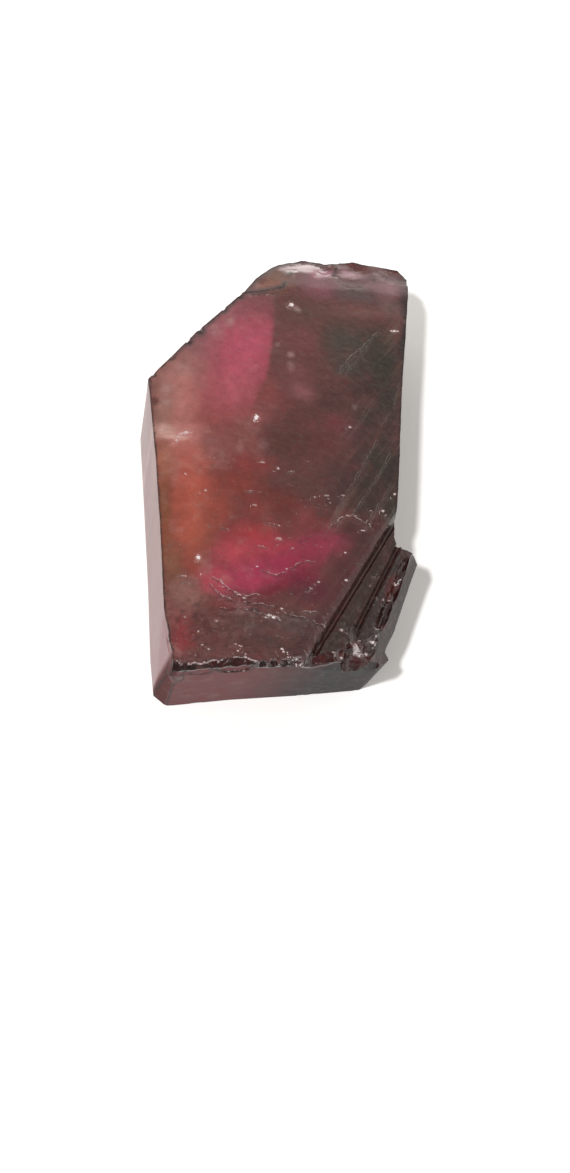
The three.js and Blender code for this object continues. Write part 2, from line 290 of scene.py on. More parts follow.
# signed distance to a crack, positive on its right-hand side, and how near the place is to its middle
def crackSpot(place, points):
    best = None
    count = len(points) - 1
    for index in range(count):
        start, end = Vector(points[index]), Vector(points[index + 1])
        along = end - start
        part = min(max((place - start).dot(along) / along.length_squared, 0.0), 1.0)
        offset = place - (start + along * part)
        away = offset.length
        if best is None or away < abs(best[0]):
            side = 1 if along.x * offset.y - along.y * offset.x < 0 else -1
            best = (away * side, (index + part) / count)
    return best


# depth, signed distance, force and painted-glint strength of the nearest crack
def crackRelief(place, cracks):
    shift, nearest = 0.0, (1.0, 0.0, 0.0)
    flat = Vector((place.x, place.y))
    flat += Vector((noise.noise(place * 2.6), noise.noise(place * 2.6 + Vector((5, 9, 2))))) * 0.06
    reach = 0.5
    for points, drop, light in cracks:
        across = [point[0] for point in points]
        along = [point[1] for point in points]
        inside = min(across) - reach < flat.x < max(across) + reach
        if not inside or not min(along) - reach < flat.y < max(along) + reach:
            continue
        away, part = crackSpot(flat, points)
        ends = smooth(part, 0.0, 0.15) * (1 - smooth(part, 0.85, 1.0))
        step = smooth(away, -0.03, 0.05) * (1 - smooth(away, 0.1, reach))
        lip = 0.4 * math.exp(-((away / 0.08) ** 2))
        shift += drop * ends * (lip - step)
        if abs(away) < abs(nearest[0]):
            force = ends * (1 - smooth(abs(away), 0.14, 0.26))
            nearest = (away, force, light)
    return shift, nearest


# where a place lies within the nearest painted glint, in its own radii, and how bright that glint is
def glintSpot(place, glints, tree):
    found = tree.find_range(Vector((place.x, place.y, 0)), 0.42)
    best = None
    for _, index, _ in found:
        x, y, width, height, bright = glints[index]
        offset = ((place.x - x) / width, (place.y - y) / height)
        length = math.hypot(*offset)
        if best is None or length < best[0]:
            best = (length, offset, bright)
    if best is None:
        return 9.0, 9.0, 0.0
    return best[1][0], best[1][1], best[2]


# height of a broken line at a place along it
def follow(points, at):
    for (startX, startY), (endX, endY) in zip(points, points[1:]):
        if at < endX:
            break
    return startY + (endY - startY) * min(max((at - startX) / (endX - startX), 0.0), 1.0)


# how far to fill the hollows over the front wall, up to a slanting bevel
def frontBevel(place, normal, shape):
    share = smooth(-normal.y, 0.2, 0.5) * smooth(-place.y, 13.9, 14.3) * smooth(place.z, 6.8, 7.6)
    if not share:
        return 0.0
    top = follow(shape["bevelTop"], place.x)
    foot = follow(shape["bevelFoot"], place.x) + 0.12 * noiseAt(place.x * 0.8, 3, 1)
    depth = shape["bevelDepth"] * (1 + 0.3 * noiseAt(place.x * 0.9, 7, 5))
    line = follow(shape["frontWall"], place.x) + depth * min(max((place.z - foot) / (top - foot), 0.0), 1.0)
    return min(line - place.y, 0.0) * share * shape["bevelFill"]


# the height up to which the shoulder's front rim is cut away
def rimLimit(place, shape):
    share = smooth(place.x, 1.0, 1.7) * (1 - smooth(place.x, 3.7, 4.3)) * smooth(-place.y, 13.6, 13.8)
    top = follow(shape["bevelTop"], place.x)
    foot = follow(shape["bevelFoot"], place.x) + 0.1 * noiseAt(place.x * 1.1, 3, 1)
    depth = shape["bevelDepth"] * (0.9 + 0.5 * noiseAt(place.x * 0.9, 7, 5))
    part = (place.y - follow(shape["frontWall"], place.x)) / depth
    return foot + (top - foot) * part + (1 - share) * 3


def weatherStone(stone, shape):
    heading = math.radians(shape["growthHeading"])
    along = Vector((math.cos(heading), math.sin(heading), 0))
    across = Vector((math.sin(heading), -math.cos(heading), 0))
    mesh = stone.data
    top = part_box("crystal")[1][2] / mm
    glintTree = kdtree.KDTree(len(shape["glints"]))
    for index, glint in enumerate(shape["glints"]):
        glintTree.insert((glint[0], glint[1], 0), index)
    glintTree.balance()
    places = [corner.co / mm for corner in mesh.vertices]
    normals = [corner.normal.copy() for corner in mesh.vertices]
    crackMarks, glintMarks = [], []
    for corner, place, normal in zip(mesh.vertices, places, normals):
        flat = smooth(normal.z, 0.9, 0.985) * smooth(place.z, top - 0.9, top - 0.2)
        wall = 1 - smooth(abs(normal.z), 0.1, 0.3)
        farEnd = smooth(place.y, 12.6, 13.6) * smooth(place.z, 5.5, 7) * smooth(place.x, -1.5, 1.0)
        slanted = smooth(normal.z, 0.15, 0.35) * (1 - smooth(normal.z, 0.93, 0.98))
        broken = max(farEnd, slanted * smooth(-place.y, 12.5, 13.5))
        flat *= 1 - farEnd
        shift = shape["topSwell"] * flat * noise.noise(place * 0.22)
        # little terraces whose edges run across the stone
        height = 0.5 * place.y + 0.12 * place.x + 1.5 * noise.noise(place * 0.3)
        height += 0.35 * noise.noise(place * 1.1)
        level = height / 0.75
        scarp = (level - math.floor(level)) - 0.5
        patchy = smooth(noise.noise(place * 0.35 + Vector((9, 4, 0))), -0.15, 0.25)
        shift += shape["scarpHeight"] * scarp * flat * patchy
        # growth lines on the dark side
        east = smooth(place.dot(across), 1.5, 5)
        line = place.dot(across) * 2.2 + 0.5 * noise.noise(place * 0.2)
        stria = noiseAt(line, place.dot(along) * 0.08, 3)
        stria += 0.5 * noiseAt(line * 2.3, place.dot(along) * 0.1, 8)
        shift += shape["striaDepth"] * stria * east * flat
        shift += shape["etchDepth"] * noise.noise(place * 3.2) * flat
        # rougher towards the front, in ripples that run across
        front = smooth(-place.y, 10.3, 12.6) * flat
        ripple = noiseAt(place.x * 0.9, place.y * 2.0, 1)
        ripple += 0.6 * noiseAt(place.x * 2.2, place.y * 3.6, 5)
        ripple += 0.3 * noiseAt(place.x * 5.0, place.y * 7.0, 2)
        shift += shape["frontRough"] * front * ripple
        crackShift, mark = crackRelief(place, shape["cracks"]) if flat > 0.2 else (0.0, (1.0, 0.0, 0.0))
        shift += crackShift * flat
        crackMarks.append(mark)
        upturned = smooth(normal.z, 0.05, 0.2) * smooth(place.z, 6.5, 7.0)
        spot = glintSpot(place, shape["glints"], glintTree)
        glintMarks.append((spot[0], spot[1], spot[2] * upturned))
        # walls: long soft waves
        streak = noiseAt(place.x * 0.9, place.y * 0.9, place.z * 0.16)
        shift += shape["wallSwell"] * wall * streak
        # fractured faces
        ripple = noise.noise(place * 1.1) + 0.5 * noise.noise(place * 2.6) + 0.3 * noise.noise(place * 6.0)
        shift += shape["brokenRough"] * broken * ripple
        # rims stray sideways a little
        wander = shape["rimWander"] * smooth(place.z, top - 2.0, top - 0.6)
        wander *= 0.25 + 0.75 * smooth(-place.y, 12.0, 14.0)
        stray = noise.noise_vector(place * 1.9) + noise.noise_vector(place * 5.0) * 0.4
        stray.z = 0
        moved = place + normal * shift + stray * wander
        moved.y += frontBevel(place, normal, shape)
        limit = max(rimLimit(moved, shape), follow(shape["bevelFoot"], moved.x))
        if place.z > 7.8:
            moved.z = min(moved.z, limit)
        settled = smooth(place.z, 0.05, shape["restBand"] + 0.05)
        corner.co = (place + (moved - place) * settled) * mm
    low, high = (Vector(point) for point in cadBounds)
    for corner in mesh.vertices:
        for axis in range(3):
            corner.co[axis] = min(max(corner.co[axis], low[axis]), high[axis])
    mesh.update()
    markMesh(mesh, crackMarks, glintMarks, shape)
    print("stone weathered")


# smooth shading with crisp edges, and values for the finish: distance to rims, cracks and painted glints
def markMesh(mesh, crackMarks, glintMarks, shape):
    sharp, crisp = math.radians(shape["sharpAngle"]), math.radians(shape["crispAngle"])
    shaped = bmesh.new()
    shaped.from_mesh(mesh)
    rim = []
    for face in shaped.faces:
        face.smooth = True
    for edge in shaped.edges:
        turn = turnOf(edge)
        if turn > crisp:
            edge.smooth = False
        if turn > sharp * 1.2:
            start, end = edge.verts[0].co, edge.verts[1].co
            rim += [start.lerp(end, part / 4) for part in range(4)]
    shaped.to_mesh(mesh)
    shaped.free()
    tree = kdtree.KDTree(len(rim))
    for index, point in enumerate(rim):
        tree.insert(point, index)
    tree.balance()
    edgeMarks = [min(tree.find(corner.co)[2] / mm, 3.0) for corner in mesh.vertices]
    for name, kind, part, marks in (
        ("edgeAway", "FLOAT", "value", edgeMarks),
        ("crackSpot", "FLOAT_VECTOR", "vector", crackMarks),
        ("glintSpot", "FLOAT_VECTOR", "vector", glintMarks),
    ):
        values = mesh.attributes.new(name, kind, "POINT")
        values.data.foreach_set(part, np.array(marks).ravel())


# ---- helpers for shader nodes


def makeNode(tree, kind, values=None, **settings):
    node = tree.nodes.new("ShaderNode" + kind)
    for name, value in settings.items():
        setattr(node, name, value)
    for key, value in (values or {}).items():
        if isinstance(value, bpy.types.NodeSocket):
            tree.links.new(value, node.inputs[key])
        else:
            node.inputs[key].default_value = value
    return node


def calc(tree, operation, first, second=0.0):
    return makeNode(tree, "Math", {0: first, 1: second}, operation=operation).outputs[0]


def product(tree, *values):
    result = values[0]
    for value in values[1:]:
        result = calc(tree, "MULTIPLY", result, value)
    return result


def vectorCalc(tree, operation, first, second):
    node = makeNode(tree, "VectorMath", {0: first, 1: second}, operation=operation)
    return node.outputs[0]


def fade(tree, value, low, high, start=0.0, end=1.0):
    ranges = {0: value, 1: low, 2: high, 3: start, 4: end}
    return makeNode(tree, "MapRange", ranges, interpolation_type="SMOOTHSTEP").outputs[0]


def blend(tree, share, first, second, how="MIX"):
    values = {0: share, 6: first, 7: second}
    node = makeNode(tree, "Mix", values, data_type="RGBA", blend_type=how)
    return node.outputs[2]


def speckle(tree, place, scale, detail=3.0, rough=0.55, output=0):
    values = {"Vector": place, "Scale": scale, "Detail": detail, "Roughness": rough}
    return makeNode(tree, "TexNoise", values).outputs[output]


# a place stretched so that one unit is as long and wide as given, along a heading in degrees
def stretched(tree, place, size, heading=0.0, shift=(0, 0, 0)):
    values = {"Vector": place, "Location": shift, "Scale": size, "Rotation": (0, 0, math.radians(heading))}
    return makeNode(tree, "Mapping", values, vector_type="TEXTURE").outputs[0]


def greyOf(tree, value):
    return makeNode(tree, "CombineColor", {0: value, 1: value, 2: value}).outputs[0]


def attributeOf(tree, name):
    return makeNode(tree, "Attribute", attribute_name=name)


def splitOf(tree, vector):
    return makeNode(tree, "SeparateXYZ", {0: vector}).outputs


def linear(colour):
    parts = []
    for part in colour:
        part /= 255
        parts.append(part / 12.92 if part <= 0.04045 else ((part + 0.055) / 1.055) ** 2.4)
    return parts


# a thin wandering line where a noise passes through its middle
def vein(tree, place, scale, width, detail=3.0):
    value = speckle(tree, place, scale, detail, 0.5)
    return fade(tree, calc(tree, "ABSOLUTE", calc(tree, "SUBTRACT", value, 0.5)), width, 0.0)


# one inside an ellipse, fading out over its border
def zoneMask(tree, place, centre, radii, turn, soft, strength=1.0):
    values = {"Vector": place, "Location": (*centre, 0), "Scale": (*radii, 1000)}
    values["Rotation"] = (0, 0, math.radians(turn))
    local = makeNode(tree, "Mapping", values, vector_type="TEXTURE").outputs[0]
    length = makeNode(tree, "VectorMath", {0: local}, operation="LENGTH").outputs["Value"]
    return fade(tree, length, 1 + soft, max(1 - soft, 0), 0.0, strength)


# one in a strip between two values
def stripMask(tree, value, low, high, soft):
    rising = fade(tree, value, low - soft, low + soft)
    return product(tree, rising, fade(tree, value, high + soft, high - soft))


# ---- the stone's finish

stonePaint = {
    "ior": 1.6,
    "transmission": 0.4,
    "absorbColour": (0.75, 0.45, 0.42, 1),
    "absorbDensity": 120.0,
    "veil": 0.026,  # light that the gloss adds over every colour below
    "lift": 0.95,  # how bright a body colour comes out under the studio light
    "base": (104, 66, 64),
    # colour zones inside the stone, as they look: centre, radii, strength, colour, and then the turn
    # and the softness where they aren't the usual ones
    "zones": {
        "mauveBand": ((-5.2, 8.4), (2.0, 3.8), 0.95, (150, 98, 102), -42),
        "mauveWest": ((-7.4, 5.2), (1.8, 1.7), 0.9, (150, 106, 100), -30),
        "salmon": ((-7.0, 2.8), (1.6, 2.6), 0.95, (184, 118, 112)),
        "sandWest": ((-8.7, 2.6), (0.6, 2.0), 0.9, (156, 112, 102), 0, 0.8),
        "roseBrown": ((-4.9, 1.9), (1.5, 2.0), 0.9, (148, 80, 76)),
        "mauveGrey": ((-4.7, -0.5), (1.3, 1.1), 0.8, (144, 90, 88)),
        "blush": ((-7.2, 0.4), (1.2, 0.9), 0.85, (196, 126, 120), 10),
        "peach": ((-8.3, 0.6), (0.8, 0.5), 0.8, (204, 158, 144), 5, 0.8),
        "edgeSpot": ((-9.15, 2.85), (0.22, 0.4), 0.85, (92, 56, 52), 0, 0.5),
        "heart": ((-2.9, 0.3), (1.4, 1.3), 0.8, (138, 80, 78)),
        "heartRed": ((-2.6, -1.5), (1.7, 0.7), 0.8, (140, 64, 62)),
        "orangeNorth": ((-6.8, -1.4), (1.3, 1.1), 0.9, (186, 108, 98)),
        "orange": ((-6.3, -3.4), (1.5, 1.8), 0.95, (178, 88, 74)),
        "orangeSouth": ((-6.5, -6.2), (1.5, 2.4), 0.95, (174, 90, 74)),
        "orangeLow": ((-5.9, -9.2), (0.9, 0.9), 0.8, (150, 76, 66)),
        "oliveEdge": ((-8.2, -4.8), (0.45, 3.0), 0.9, (132, 80, 58), 2, 0.8),
        "oliveLow": ((-7.6, -9.0), (0.6, 1.4), 0.85, (138, 90, 70), 4, 0.8),
        "brownWest": ((-3.4, -3.0), (1.4, 0.9), 0.85, (138, 66, 58)),
        "brownLow": ((-4.6, -4.8), (1.0, 1.2), 0.85, (148, 74, 64)),
        "brownSouth": ((-0.7, -4.0), (1.7, 1.0), 0.85, (110, 56, 52), -10),
        "brownEast": ((1.2, -2.7), (1.8, 0.8), 0.8, (93, 64, 60), -10),
        "roseSpot": ((1.2, -4.7), (0.8, 0.5), 0.8, (124, 68, 68)),
        "greyEast": ((3.7, -1.8), (1.2, 1.1), 0.8, (86, 62, 60)),
        "redGlow": ((-2.3, -6.6), (1.6, 1.1), 0.95, (164, 65, 68)),
        "redWest": ((-3.4, -8.0), (1.3, 1.0), 0.95, (184, 75, 86)),
        "redMiddle": ((-0.9, -7.5), (1.5, 0.9), 0.95, (168, 66, 80)),
        "magenta": ((-2.6, -9.6), (1.7, 0.95), 0.95, (170, 64, 90), 10, 0.8),
        "magentaEast": ((0.2, -8.4), (1.6, 0.9), 0.95, (156, 54, 78), 20),
        "plum": ((2.8, -6.8), (1.7, 0.9), 0.95, (137, 63, 78), 24),
        "plumMiddle": ((1.4, -7.3), (1.5, 0.9), 0.85, (150, 58, 78), 20),
        "magentaHeart": ((-1.2, -8.9), (1.3, 0.8), 0.8, (160, 58, 84), 20),
        "deepMagenta": ((-0.9, -10.3), (1.1, 0.5), 0.85, (116, 36, 58), 20),
        "deepPlum": ((0.9, -9.3), (1.2, 0.7), 0.9, (124, 46, 64), 20),
        "mauveSouth": ((1.8, -10.3), (1.3, 0.8), 0.8, (94, 48, 58), 20),
        "greyPlum": ((3.7, -8.4), (0.8, 1.0), 0.8, (93, 54, 58), -20),
        "underGlow": ((-3.0, -11.4), (1.8, 0.4), 0.8, (110, 54, 60)),
        "sandSouth": ((-6.4, -11.0), (1.5, 0.9), 0.9, (134, 86, 78), 5),
        "brownCorner": ((-7.2, -12.3), (0.7, 0.7), 0.85, (130, 80, 76)),
        "cornerRed": ((-6.8, -13.8), (0.65, 1.1), 0.9, (142, 62, 66), 8),
        "brownFront": ((-4.9, -13.0), (1.0, 1.1), 0.85, (100, 59, 56)),
        "redUnder": ((-1.5, 4.1), (1.2, 1.6), 0.85, (134, 72, 72)),
        "redNorth": ((1.2, -5.6), (1.3, 0.7), 0.8, (132, 64, 66), 10),
        "magentaWest": ((-4.7, -9.8), (0.9, 0.8), 0.9, (178, 72, 88)),
        "darkGap": ((4.1, -5.6), (0.7, 0.5), 0.7, (74, 52, 48)),
        "eastRim": ((7.2, -2.6), (0.7, 4.0), 0.85, (65, 56, 52)),
        "byShoulder": ((5.4, -6.4), (0.9, 1.3), 0.85, (76, 54, 52), -30),
        "smokeMiddle": ((4.7, 6.7), (1.4, 0.7), 0.8, (70, 66, 60)),
        "smokeLow": ((5.5, 2.8), (0.8, 1.0), 0.8, (62, 56, 52)),
        "blackLow": ((5.4, -2.4), (1.0, 0.8), 0.8, (60, 54, 51)),
        "orangeEdge": ((-8.3, -1.6), (0.6, 1.3), 0.8, (170, 108, 90)),
        "pinkHeart": ((-2.3, 2.2), (0.9, 0.8), 0.8, (148, 86, 86)),
        "brownGlow": ((-2.2, -4.6), (1.0, 1.0), 0.8, (134, 66, 62)),
        "lowGlow": ((-4.0, -11.3), (0.8, 0.4), 0.8, (130, 66, 66)),
        "eastEdge": ((8.8, 9.5), (0.4, 5.5), 0.85, (42, 38, 32), 0, 0.7),
        "brownCore": ((0.8, 5.6), (0.7, 0.8), 0.7, (124, 76, 76)),
        "frontWest": ((-2.6, -12.9), (1.3, 0.9), 0.9, (92, 68, 66)),
        "frontEast": ((0.6, -12.7), (1.5, 0.8), 0.9, (88, 71, 69)),
        "frontRim": ((-0.4, -14.2), (2.2, 0.7), 0.85, (86, 62, 59)),
        "smokeNorth": ((4.4, 8.8), (1.8, 1.5), 0.95, (78, 69, 63), 0, 0.8),
        "greenBlack": ((6.9, 7.6), (1.4, 2.4), 0.95, (62, 58, 50), 0, 0.8),
        "smokeEast": ((7.3, 4.2), (1.1, 1.9), 0.9, (62, 57, 52)),
        "maroon": ((5.4, 5.2), (1.2, 0.9), 0.8, (68, 52, 50)),
        "redEast": ((3.2, 3.9), (1.4, 1.2), 0.8, (80, 56, 54)),
        "redSpot": ((3.5, 2.0), (0.9, 0.6), 0.85, (113, 60, 64), -10),
        "plumSpot": ((4.7, 1.6), (0.8, 0.7), 0.8, (92, 60, 63)),
        "redCentre": ((2.5, 0.5), (1.2, 0.8), 0.8, (98, 56, 55)),
        "brownCentre": ((0.2, 0.4), (1.3, 1.3), 0.9, (90, 58, 52)),
        "brownMiddle": ((1.1, 2.4), (1.3, 0.9), 0.8, (98, 61, 58)),
        "blackEast": ((6.3, -0.4), (1.4, 1.7), 0.9, (60, 57, 52), -15),
        "greySouth": ((5.4, -3.7), (1.6, 0.9), 0.85, (68, 57, 53), -10),
        "oliveDark": ((7.2, -4.1), (0.7, 0.9), 0.85, (62, 55, 48)),
        "haze": ((1.1, 4.4), (0.9, 0.6), 0.6, (150, 96, 98), -15),
        "column": ((-0.4, 8.2), (0.5, 2.6), 0.85, (112, 72, 71)),
        "wine": ((1.0, 8.6), (0.9, 1.2), 0.85, (121, 72, 74)),
        "brownNorth": ((1.6, 10.9), (1.4, 1.0), 0.85, (98, 72, 64)),
        "wedge": ((-0.7, 13.1), (1.3, 0.9), 0.95, (124, 84, 70), 40, 0.8),
        "wedgeLow": ((-1.3, 12.6), (1.0, 0.4), 0.8, (146, 98, 86), 25),
        "wedgeDark": ((-0.8, 14.1), (0.7, 0.5), 0.8, (108, 74, 58)),
        "wedgeTip": ((0.3, 14.1), (0.7, 0.25), 0.85, (100, 76, 66), -30, 0.8),
        "mauveTop": ((-1.9, 11.2), (1.0, 0.5), 0.8, (116, 78, 78), 15),
        "lavenderWest": ((2.6, 13.2), (1.2, 0.9), 0.9, (136, 86, 96)),
        "slate": ((5.1, 12.7), (1.3, 0.6), 0.85, (98, 84, 84)),
        "lavenderEast": ((7.5, 13.8), (1.1, 0.9), 0.95, (140, 100, 108)),
        "greyMauve": ((7.6, 12.0), (0.9, 0.7), 0.8, (116, 92, 90)),
        "redBand": ((5.2, 11.4), (2.0, 0.45), 0.85, (117, 82, 78), 2),
        # pale fractured far end with a painted highlight along its top edge
        "shellWhiteHighlight": ((1.15, 14.7), (1.35, 0.36), 0.97, (228, 206, 208), 8, 0.5),
        "shellPink": ((2.7, 14.5), (0.8, 0.42), 0.9, (182, 124, 141), 12, 0.6),
        "shellPale": ((5.0, 15.0), (0.9, 0.4), 0.9, (182, 144, 153), 0, 0.6),
        "shellGrey": ((7.4, 15.0), (1.0, 0.3), 0.7, (122, 100, 100), 0, 0.7),
        "waveWest": ((3.95, 14.55), (0.6, 0.14), 0.8, (98, 62, 70), -45, 0.8),
        "waveEast": ((5.1, 13.95), (0.9, 0.18), 0.75, (100, 74, 76), 6, 0.8),
    },
    # the rose glow: soft patches cut off by an inner boundary
    "rose": [
        ((-3.2, 6.8), (2.0, 3.6), 0.95, (174, 80, 94), -22),
        ((-3.7, 4.6), (1.5, 1.9), 0.85, (180, 92, 104), -5),
        ((-2.7, 7.6), (1.2, 2.2), 0.9, (184, 86, 105), -24),
    ],
    "roseEdge": {"low": (-2.3, 3.2), "middle": (-1.2, 6.4), "high": (-0.95, 11.0), "soft": 0.22},
    "milkColour": (214, 180, 176),
    "milk": [  # milky spots: centre, radius, strength
        ((-3.95, 9.3), 0.32, 0.3), ((0.4, 7.25), 0.22, 0.35), ((0.35, 6.4), 0.3, 0.15),
        ((-0.75, 8.0), 0.14, 0.3), ((-4.8, 8.5), 0.5, 0.1), ((0.75, 11.15), 0.2, 0.45),
        ((-7.4, 5.5), 0.4, 0.15), ((-8.4, 3.8), 0.28, 0.2), ((-8.45, 3.0), 0.25, 0.2),
        ((-3.2, -0.3), 0.3, 0.12), ((-6.6, -11.0), 0.9, 0.1), ((-5.8, -8.4), 0.2, 0.2),
        ((-7.0, 0.5), 0.35, 0.3), ((-8.4, 0.7), 0.4, 0.25), ((-2.6, 11.95), 0.2, 0.4),
        ((-1.5, 0.1), 0.4, 0.1), ((-2.1, 12.8), 0.25, 0.2), ((0.75, 13.85), 0.2, 0.3),
        ((8.65, 10.85), 0.12, 0.3), ((4.9, 3.4), 0.15, 0.2),
    ],
    # across the shoulder: from, to, softness, strength, colour
    "shoulder": [
        (9.05, 13.5, 0.12, 0.95, (68, 52, 50)),
        (7.6, 8.3, 0.2, 0.5, (80, 52, 54)),
        (8.3, 8.62, 0.1, 0.85, (88, 62, 62)),
        (8.62, 8.8, 0.06, 0.85, (70, 60, 58)),
        (8.8, 8.96, 0.05, 0.85, (74, 62, 60)),
        (8.98, 9.15, 0.05, 0.85, (60, 52, 50)),
        (9.25, 9.9, 0.2, 0.5, (62, 54, 50)),
        (10.35, 10.8, 0.12, 0.7, (58, 50, 48)),
        (11.0, 11.4, 0.15, 0.7, (54, 40, 40)),
        (11.55, 13.0, 0.12, 0.85, (56, 42, 42)),
    ],
    "shoulderFrom": (-4.4, -5.2),
    "ledgeRed": (98, 46, 48),
    "chippedRed": (78, 34, 38),
    "pitRed": (80, 32, 38),
    "frontWest": (134, 66, 70),
    "frontEast": (40, 30, 34),
    "frontCorner": (94, 22, 20),
    "westWall": (132, 60, 68),
    # painted shade along the rims
    "rimShade": (52, 36, 34),
    "rimGrey": (100, 84, 84),
    # painted glint colour, near white
    "glint": (252, 240, 240),
    "crackDark": (56, 32, 32),
    # painted glint along the cracks
    "crackGlint": (236, 206, 204),
    "mottleBrown": (96, 70, 58),
    "mottleRed": (150, 66, 68),
    "smudgeLight": (118, 96, 92),
    "smudgeDark": (58, 40, 40),
    "grime": (104, 86, 84),
    "streak": (104, 98, 92),
    "haze": (196, 160, 152),
    "wisp": (222, 186, 174),
    # pale fracture waves with a painted highlight
    "paleWaveHighlight": (240, 224, 226),
    "waveDark": (104, 70, 76),
    # painted glint along the hairlines
    "hairlineGlint": (190, 160, 155),
    # painted sparkle colour
    "chanceGlint": (226, 205, 202),
    # painted glow around the glints
    "glintGlow": (200, 150, 150),
    # painted highlight along the front rim
    "rimHighlight": (226, 196, 198),
}


def bodyColour(look, colour):
    parts = [max((part - look["veil"]) / look["lift"], 0.002) for part in linear(colour)]
    return (*parts, 1.0)


# the soft colour zones, laid over each other in the mesh's own colours
def paintZones(mesh, look):
    count = len(mesh.vertices)
    places = np.zeros(count * 3)
    mesh.vertices.foreach_get("co", places)
    places = places.reshape(count, 3) / mm
    strays = np.zeros((count, 3))
    for index, place in enumerate(places):
        place = Vector(place)
        strays[index] = noise.noise_vector(place * 0.4) * 0.32 + noise.noise_vector(place * 1.5) * 0.2
    warped = places + strays

    def soften(values, low, high):
        part = np.clip((values - low) / (high - low), 0, 1)
        return part * part * (3 - 2 * part)

    def zoneShare(centre, radii, strength, turn=0, soft=0.9):
        turn = math.radians(turn)
        offset = warped[:, :2] - np.array(centre)
        along = (offset[:, 0] * math.cos(turn) + offset[:, 1] * math.sin(turn)) / radii[0]
        aside = (offset[:, 1] * math.cos(turn) - offset[:, 0] * math.sin(turn)) / radii[1]
        return soften(np.hypot(along, aside), 1 + soft, max(1 - soft, 0)) * strength

    colours = np.tile(bodyColour(look, look["base"]), (count, 1))

    def lay(share, tint):
        colours[:] += (np.array(bodyColour(look, tint)) - colours) * share[:, None]

    for centre, radii, strength, tint, *shape in look["zones"].values():
        lay(zoneShare(centre, radii, strength, *shape), tint)
    # the rose glow stops at its inner boundary
    border = look["roseEdge"]
    inside = np.ones(count)
    for first, second in (("low", "middle"), ("middle", "high")):
        (startX, startY), (endX, endY) = border[first], border[second]
        length = math.hypot(endX - startX, endY - startY)
        offsetX = (places[:, 0] + strays[:, 0] * 0.4 - startX) * (endY - startY) / length
        away = offsetX - (places[:, 1] - startY) * (endX - startX) / length
        inside *= soften(away, border["soft"], -border["soft"])
    for centre, radii, strength, tint, *shape in look["rose"]:
        lay(zoneShare(centre, radii, strength, *shape) * inside, tint)
    for centre, radius, strength in look["milk"]:
        lay(zoneShare(centre, (radius, radius), strength, soft=0.8), look["milkColour"])
    values = mesh.attributes.new("zoneColour", "FLOAT_COLOR", "POINT")
    values.data.foreach_set("color", colours.ravel())


